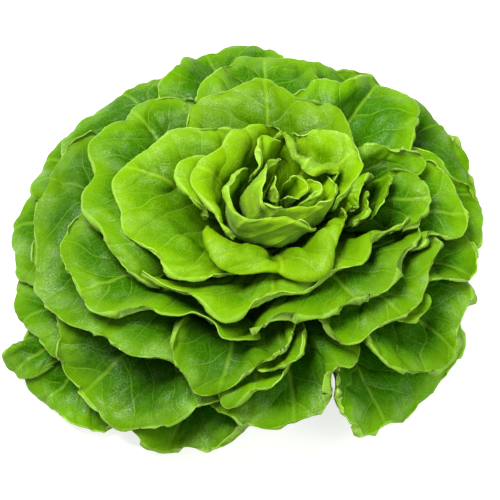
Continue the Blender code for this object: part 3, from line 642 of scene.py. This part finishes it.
# Each layer of a face mixes a colour in: what steers it, from, to, share at from, share at to.
# A layer with one number has that share of its field, or of the whole blade.
rimLayers = [("toRim", 55.0, 95.0, 0.0, 0.75, "pale"), ("toRim", 0.1, 0.9, 0.45, 0.0, "rim")]
upperLayers = [
    ("patch", 0.34, 0.62, 0.25, 1.0, "upper"),
    ("mottle", 0.38, 0.60, 0.5, 0.0, "darkAndShade"),
    # painted shade in the pockets beside the next leaf's rim: darker the further in from this rim
    ("depth", 3.0, 17.0, 0.0, 0.85, "darkAndShade"),
    ("speck", 0.45, 0.75, 0.0, 0.22, "vein"),
    # painted shade in the grooves over the veins, lighter on the raised crowns between them
    ("crown", 0.0, 1.0, 0.35, 0.0, "darkAndShade"),
    ("veins", 0.65, "vein"),
    # painted glow of light through the thin blade: lighter towards the rim
    ("toRim", 0.5, 16.0, 0.6, 0.0, "marginGlow"),
] + rimLayers
underLayers = [
    ("patch", 0.35, 0.7, 0.0, 1.0, "upper"),
    ("mottle", 0.38, 0.62, 0.6, 0.0, "darkAndShade"),
    # painted shade on the underside: darker away from the rim
    ("toRim", 4.0, 26.0, 0.0, 0.35, "darkAndShade"),
    ("veins", 0.6, "vein"),
] + rimLayers
edgeLayers = upperLayers + [("whole", 0.7, "rim")]
faceLooks = {
    "upper": dict(first="darkAndShade", layers=upperLayers, rough=0.46, bump=0.55, sheen=0.0),
    "under": dict(first="under", layers=underLayers, rough=0.5, bump=0.6, sheen=0.05),
    "edge": dict(first="darkAndShade", layers=edgeLayers, rough=0.5, bump=0.55, sheen=0.0),
}

# The skin of every leaf: noises as (scale for each millimetre, detail), ranges as in the layers
skin = dict(
    noises=dict(patch=(0.045, 3.0), speck=(0.9, 3.0), mottle=(0.13, 4.0)),
    midLine=(0.4, 1.9, 1.0, 0.0), sideLine=(0.12, 0.75, 0.75, 0.0),
    crossLine=(0.08, 0.5, 0.45, 0.0), fineLine=(0.0, 0.07, 0.42, 0.0), fineScale=0.19,
    crownSide=(0.0, 5.0, 0.0, 1.0), crownCross=(0.0, 4.5, 0.4, 1.0),
    heights=dict(crown=0.6, veins=-0.5, speck=0.5, patch=1.2), bumpDepth=0.0009,
    glossSpeck=(0.35, 0.7, 0.03, 0.4), glossPatch=(0.42, 0.64, 0.12, 1.15),
    through=0.10, throughDepth=0.005, throughColour=(0.5, 1.0, 0.05), sheenRough=0.6)


def colour(rgb):
    return (*rgb, 1.0)


class Graph:  # short names for the node tree of one material
    def __init__(self, material):
        material.use_nodes = True
        self.tree = material.node_tree
        self.tree.nodes.clear()

    def add(self, kind, inputs=None, **settings):
        node = self.tree.nodes.new(kind)
        for key, value in settings.items():
            setattr(node, key, value)
        for key, value in (inputs or {}).items():
            if isinstance(value, bpy.types.NodeSocket):
                self.tree.links.new(value, node.inputs[key])
            else:
                node.inputs[key].default_value = value
        return node

    def maths(self, operation, first, second=0.0, third=0.0):
        node = self.add("ShaderNodeMath", {0: first, 1: second, 2: third}, operation=operation)
        return node.outputs[0]

    def mapped(self, value, low, high, start=0.0, end=1.0):
        node = self.add("ShaderNodeMapRange", {0: value, 1: low, 2: high, 3: start, 4: end},
                        interpolation_type="SMOOTHSTEP")
        return node.outputs[0]

    def mixed(self, factor, first, second):
        node = self.add("ShaderNodeMix", data_type="RGBA")
        for index, value in ((0, factor), (6, first), (7, second)):
            if isinstance(value, bpy.types.NodeSocket):
                self.tree.links.new(value, node.inputs[index])
            else:
                node.inputs[index].default_value = value
        return node.outputs[2]

    def noise(self, where, scale, detail):
        settings = {"Vector": where, "Scale": scale, "Detail": detail}
        return self.add("ShaderNodeTexNoise", settings).outputs[0]

    def mark(self, name):
        return self.add("ShaderNodeAttribute", attribute_name=name).outputs["Fac"]

    def finish(self, inputs):
        shader = self.add("ShaderNodeBsdfPrincipled", inputs)
        self.add("ShaderNodeOutputMaterial", {"Surface": shader.outputs[0]})


def veinField(g):  # place in millimetres, strength of the veins, height of the crowns between
    where = g.add("ShaderNodeUVMap", uv_map="blade").outputs[0]
    where = g.add("ShaderNodeVectorMath", {0: where, 1: (100, 100, 100)}, operation="MULTIPLY")
    where = where.outputs[0]
    x, y = g.add("ShaderNodeSeparateXYZ", {0: where}).outputs[:2]
    phase = g.mark("phase")

    def wave(name, inside):
        return g.maths("MULTIPLY", veins[name], g.maths("SINE", inside))

    def awayFromLine(turn, spacing):  # millimetres to the nearest line of an even row
        away = g.maths("ABSOLUTE", g.maths("SUBTRACT", g.maths("FRACT", turn), 0.5))
        return g.maths("MULTIPLY", away, spacing)

    sway = wave("sway", g.maths("ADD", g.maths("DIVIDE", y, veins["swayLength"]), phase))
    shaken = g.maths("DIVIDE", g.maths("ADD", x, y), veins["shakeLength"])
    shake = wave("shake", g.maths("ADD", shaken, g.maths("MULTIPLY", phase, 2.0)))
    drift = wave("drift", g.maths("ADD", g.maths("DIVIDE", x, veins["driftLength"]), phase))
    slanted = g.maths("SUBTRACT", x, g.maths("MULTIPLY", y, veins["slantTurn"]))
    slanted = g.maths("DIVIDE", slanted, veins["slantLength"])
    slant = wave("slant", g.maths("SUBTRACT", slanted, phase))
    wx = g.maths("ADD", x, g.maths("ADD", sway, shake))
    wy = g.maths("ADD", y, g.maths("ADD", drift, slant))
    away = g.maths("ABSOLUTE", wx)
    flat = g.maths("SUBTRACT", 1.0, g.maths("DIVIDE", away, veins["flatten"]))
    climb = g.maths("MULTIPLY", g.maths("MULTIPLY", away, flat), veins["climb"])
    half = g.maths("MULTIPLY", g.maths("GREATER_THAN", wx, 0.0), 0.5)
    turn = g.maths("DIVIDE", g.maths("SUBTRACT", wy, climb), veins["spacing"])
    turn = g.maths("ADD", turn, half)
    cell = g.maths("FLOOR", g.maths("ADD", turn, 0.5))
    side = awayFromLine(turn, veins["spacing"])
    cellTurn = g.maths("MULTIPLY", cell, veins["crossTurn"])
    shift = wave("crossShift", g.maths("ADD", cellTurn, phase))
    step = g.maths("ADD", g.maths("DIVIDE", away, veins["crossSpacing"]), shift)
    cross = awayFromLine(step, veins["crossSpacing"])
    crown = g.mapped(side, *skin["crownSide"])
    crown = g.maths("MULTIPLY", crown, g.mapped(cross, *skin["crownCross"]))
    net = g.add("ShaderNodeTexVoronoi", {"Vector": where, "Scale": skin["fineScale"]},
                feature="DISTANCE_TO_EDGE", voronoi_dimensions="2D").outputs["Distance"]
    midLine = g.mapped(g.maths("ABSOLUTE", x), *skin["midLine"])
    sideLine = g.mapped(side, *skin["sideLine"])
    crossLine = g.mapped(cross, *skin["crossLine"])
    fineLine = g.mapped(net, *skin["fineLine"])
    strong = g.maths("MAXIMUM", sideLine, midLine)
    faint = g.maths("MAXIMUM", crossLine, fineLine)
    return where, g.maths("MAXIMUM", strong, faint), crown


def leafMaterial(name, tone, face):
    look = faceLooks[face]
    colours = dict(tones[tone], **everyTone)
    material = bpy.data.materials.new(name)
    g = Graph(material)
    where, veinLines, crown = veinField(g)
    fields = dict(veins=veinLines, crown=crown, toRim=g.mark("toRim"))
    # painted shade: millimetres from the rim, times how soon the leaf darkens inwards
    fields["depth"] = g.maths("MULTIPLY", fields["toRim"], g.mark("inside"))
    for field, (scale, detail) in skin["noises"].items():
        fields[field] = g.noise(where, scale, detail)

    base = colour(colours[look["first"]])
    for field, *numbers, paint in look["layers"]:
        if field == "whole":
            share = numbers[0]
        elif len(numbers) == 1:
            share = g.maths("MULTIPLY", fields[field], numbers[0])
        else:
            share = g.mapped(fields[field], *numbers)
        base = g.mixed(share, base, colour(colours[paint]))
    # each leaf's brightness, partly its own tone and partly painted light and shade
    base = g.add("ShaderNodeVectorMath", {0: base, 3: g.mark("toneAndLight")}, operation="SCALE")

    height = 0.0
    for field, amount in skin["heights"].items():
        height = g.maths("MULTIPLY_ADD", fields[field], amount, height)
    bump = g.add("ShaderNodeBump", {"Height": height, "Strength": look["bump"],
                                    "Distance": skin["bumpDepth"]})
    bump.invert = face == "under"
    gloss = g.maths("MULTIPLY", g.mapped(fields["speck"], *skin["glossSpeck"]),
                    g.mapped(fields["patch"], *skin["glossPatch"]))
    g.finish({
        "Base Color": base.outputs[0], "Roughness": look["rough"], "Normal": bump.outputs[0],
        "Specular IOR Level": gloss, "Subsurface Weight": skin["through"],
        "Subsurface Scale": skin["throughDepth"], "Subsurface Radius": skin["throughColour"],
        "Sheen Weight": look["sheen"], "Sheen Roughness": skin["sheenRough"]})
    material.diffuse_color = colour(colours["upper"])
    return material


def putInScene(thing):
    bpy.context.scene.collection.objects.link(thing)
    return thing


faceNames = ("upper", "under", "edge")
toneMaterials = {}
for tone in tones:
    toneMaterials[tone] = [leafMaterial(f"leaf_{tone}_{face}", tone, face) for face in faceNames]
print("leaf materials made:", len(tones) * len(faceNames))

usual = dict(toneAndLight=1.0, inside=0.7)  # for a leaf that names none

for k, leaf in enumerate(leaves):
    name = "blade_" + leaf["name"]
    upper, under, x, y, toRim, flipped = dressedBlade(leaf, k)
    faces, kinds = sheetFaces(upper.shape[0] - 1, upper.shape[1] - 1, flipped)
    points = np.concatenate([upper.reshape(-1, 3), under.reshape(-1, 3)])
    where = np.stack([x, y], -1).reshape(-1, 2) * 0.01
    where = np.concatenate([where, where])
    marks = dict(toRim=np.concatenate([toRim.ravel(), toRim.ravel()]), phase=leaf["phase"])
    for key, value in usual.items():
        marks[key] = leaf.get(key, value)
    mesh = bladeMesh(name, points, faces, kinds, where, marks, toneMaterials[leaf["tone"]])
    blade = putInScene(bpy.data.objects.new(name, mesh))
    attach(blade, "root")
    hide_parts(leaf["name"])
print("leaves dressed:", len(leaves))

# The cut stalk keeps its solid. Lengths here are in metres
stalkLook = dict(
    flesh=(0.60, 0.66, 0.36), ring=(0.44, 0.50, 0.22), brown=(0.33, 0.22, 0.09),
    # the top of the stalk dark green: painted shade where it shows down the trench between leaf
    # bases
    trenchShade=(0.05, 0.12, 0.002), trenchShadeFrom=0.014, trenchShadeTo=0.024,  # heights
    ringRadius=0.0115, ringWidth=0.0012, ringShare=0.9, ringWander=0.002,
    grainScale=420.0, grainDetail=4.0, grain=(0.3, 0.7, 0.0, 0.35),
    blotScale=150.0, blotDetail=5.0, blot=(0.55, 0.75, 0.0, 0.5),
    rough=0.5, bump=0.3, bumpDepth=0.0004,
    through=0.2, throughDepth=0.003, throughColour=(0.8, 1.0, 0.4))


def stalkMaterial(look):
    material = bpy.data.materials.new("cut_stalk_flesh")
    g = Graph(material)
    spot = g.add("ShaderNodeNewGeometry").outputs["Position"]
    x, y, z = g.add("ShaderNodeSeparateXYZ", {0: spot}).outputs
    flat = g.add("ShaderNodeCombineXYZ", {0: x, 1: y}).outputs[0]
    reach = g.add("ShaderNodeVectorMath", {0: flat}, operation="LENGTH").outputs["Value"]
    grain = g.noise(spot, look["grainScale"], look["grainDetail"])
    blot = g.noise(spot, look["blotScale"], look["blotDetail"])
    reach = g.maths("ADD", reach, g.maths("MULTIPLY", grain, look["ringWander"]))
    fromRing = g.maths("ABSOLUTE", g.maths("SUBTRACT", reach, look["ringRadius"]))
    ring = g.mapped(fromRing, 0.0, look["ringWidth"], look["ringShare"], 0.0)
    base = g.mixed(g.mapped(grain, *look["grain"]), colour(look["flesh"]), colour(look["ring"]))
    base = g.mixed(ring, base, colour(look["ring"]))
    base = g.mixed(g.mapped(blot, *look["blot"]), base, colour(look["brown"]))
    # painted shade on the top of the stalk
    shadedTop = g.mapped(z, look["trenchShadeFrom"], look["trenchShadeTo"])
    base = g.mixed(shadedTop, base, colour(look["trenchShade"]))
    bump = g.add("ShaderNodeBump", {"Height": grain, "Strength": look["bump"],
                                    "Distance": look["bumpDepth"]})
    g.finish({
        "Base Color": base, "Roughness": look["rough"], "Normal": bump.outputs[0],
        "Subsurface Weight": look["through"], "Subsurface Scale": look["throughDepth"],
        "Subsurface Radius": look["throughColour"]})
    return material


stalkFlesh = stalkMaterial(stalkLook)
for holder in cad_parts["stalk"].material_slots:
    holder.material = stalkFlesh
print("stalk coloured")

# Floor, light and camera, in metres
floorLook = dict(half=3.0, below=0.0002, colour=(0.4, 0.4, 0.4), rough=0.8,
                 glow=(1.0, 1.0, 1.0), glowStrength=0.75)
airLook = dict(colour=(0.95, 1.0, 0.85), strength=0.42)
lights = [
    dict(name="key", place=(-0.42, 0.1, 1.2), aim=(0, 0, 0.04), size=0.6, power=36,
         colour=(1, 0.98, 0.90)),
    dict(name="fill", place=(0.8, -0.6, 0.9), aim=(0, 0, 0.03), size=0.8, power=14,
         colour=(0.96, 1, 0.84)),
    dict(name="sheen", place=(-1.0, 0.7, 0.6), aim=(-0.05, 0, 0.05), size=0.5, power=4.5,
         colour=(1, 1, 1)),
]
view = dict(elevation=55.0, distance=1.15, height=0.017,  # of the point looked at
            pixelsPerMillimetre=1.696, photoPixels=500, sensor=36)


def turnTo(thing, aim):
    direction = Vector(aim) - Vector(thing.location)
    thing.rotation_euler = direction.to_track_quat("-Z", "Y").to_euler()


half = floorLook["half"]
corners = [(-half, -half), (half, -half), (half, half), (-half, half)]
corners = [(x, y, -floorLook["below"]) for x, y in corners]
floorMesh = bpy.data.meshes.new("floor")
floorMesh.from_pydata(corners, [], [(0, 1, 2, 3)])
floorMaterial = bpy.data.materials.new("floor_pale")
Graph(floorMaterial).finish({
    "Base Color": colour(floorLook["colour"]), "Roughness": floorLook["rough"],
    "Emission Color": colour(floorLook["glow"]), "Emission Strength": floorLook["glowStrength"]})
floorMesh.materials.append(floorMaterial)
floor = putInScene(bpy.data.objects.new("floor", floorMesh))

world = bpy.data.worlds.new("studio")
bpy.context.scene.world = world
world.use_nodes = True
air = world.node_tree.nodes["Background"]
air.inputs["Color"].default_value = colour(airLook["colour"])
air.inputs["Strength"].default_value = airLook["strength"]

for light in lights:
    lamp = bpy.data.lights.new(light["name"], "AREA")
    lamp.shape = "RECTANGLE"
    lamp.size = light["size"]
    lamp.size_y = light["size"]
    lamp.energy = light["power"]
    lamp.color = light["colour"]
    box = putInScene(bpy.data.objects.new(light["name"], lamp))
    box.location = light["place"]
    turnTo(box, light["aim"])

lens = bpy.data.cameras.new("photo_view")
lens.sensor_width = view["sensor"]
spread = view["pixelsPerMillimetre"] * 1000 / view["photoPixels"]  # picture widths to a metre
lens.lens = view["sensor"] * spread * view["distance"]
camera = putInScene(bpy.data.objects.new("photo_view", lens))
rise = math.radians(view["elevation"])
aim = Vector((0, 0, view["height"]))
camera.location = aim + Vector((0, -math.cos(rise), math.sin(rise))) * view["distance"]
turnTo(camera, aim)
bpy.context.scene.camera = camera
bpy.context.scene.view_settings.view_transform = "Standard"
print("floor, light and camera ready")
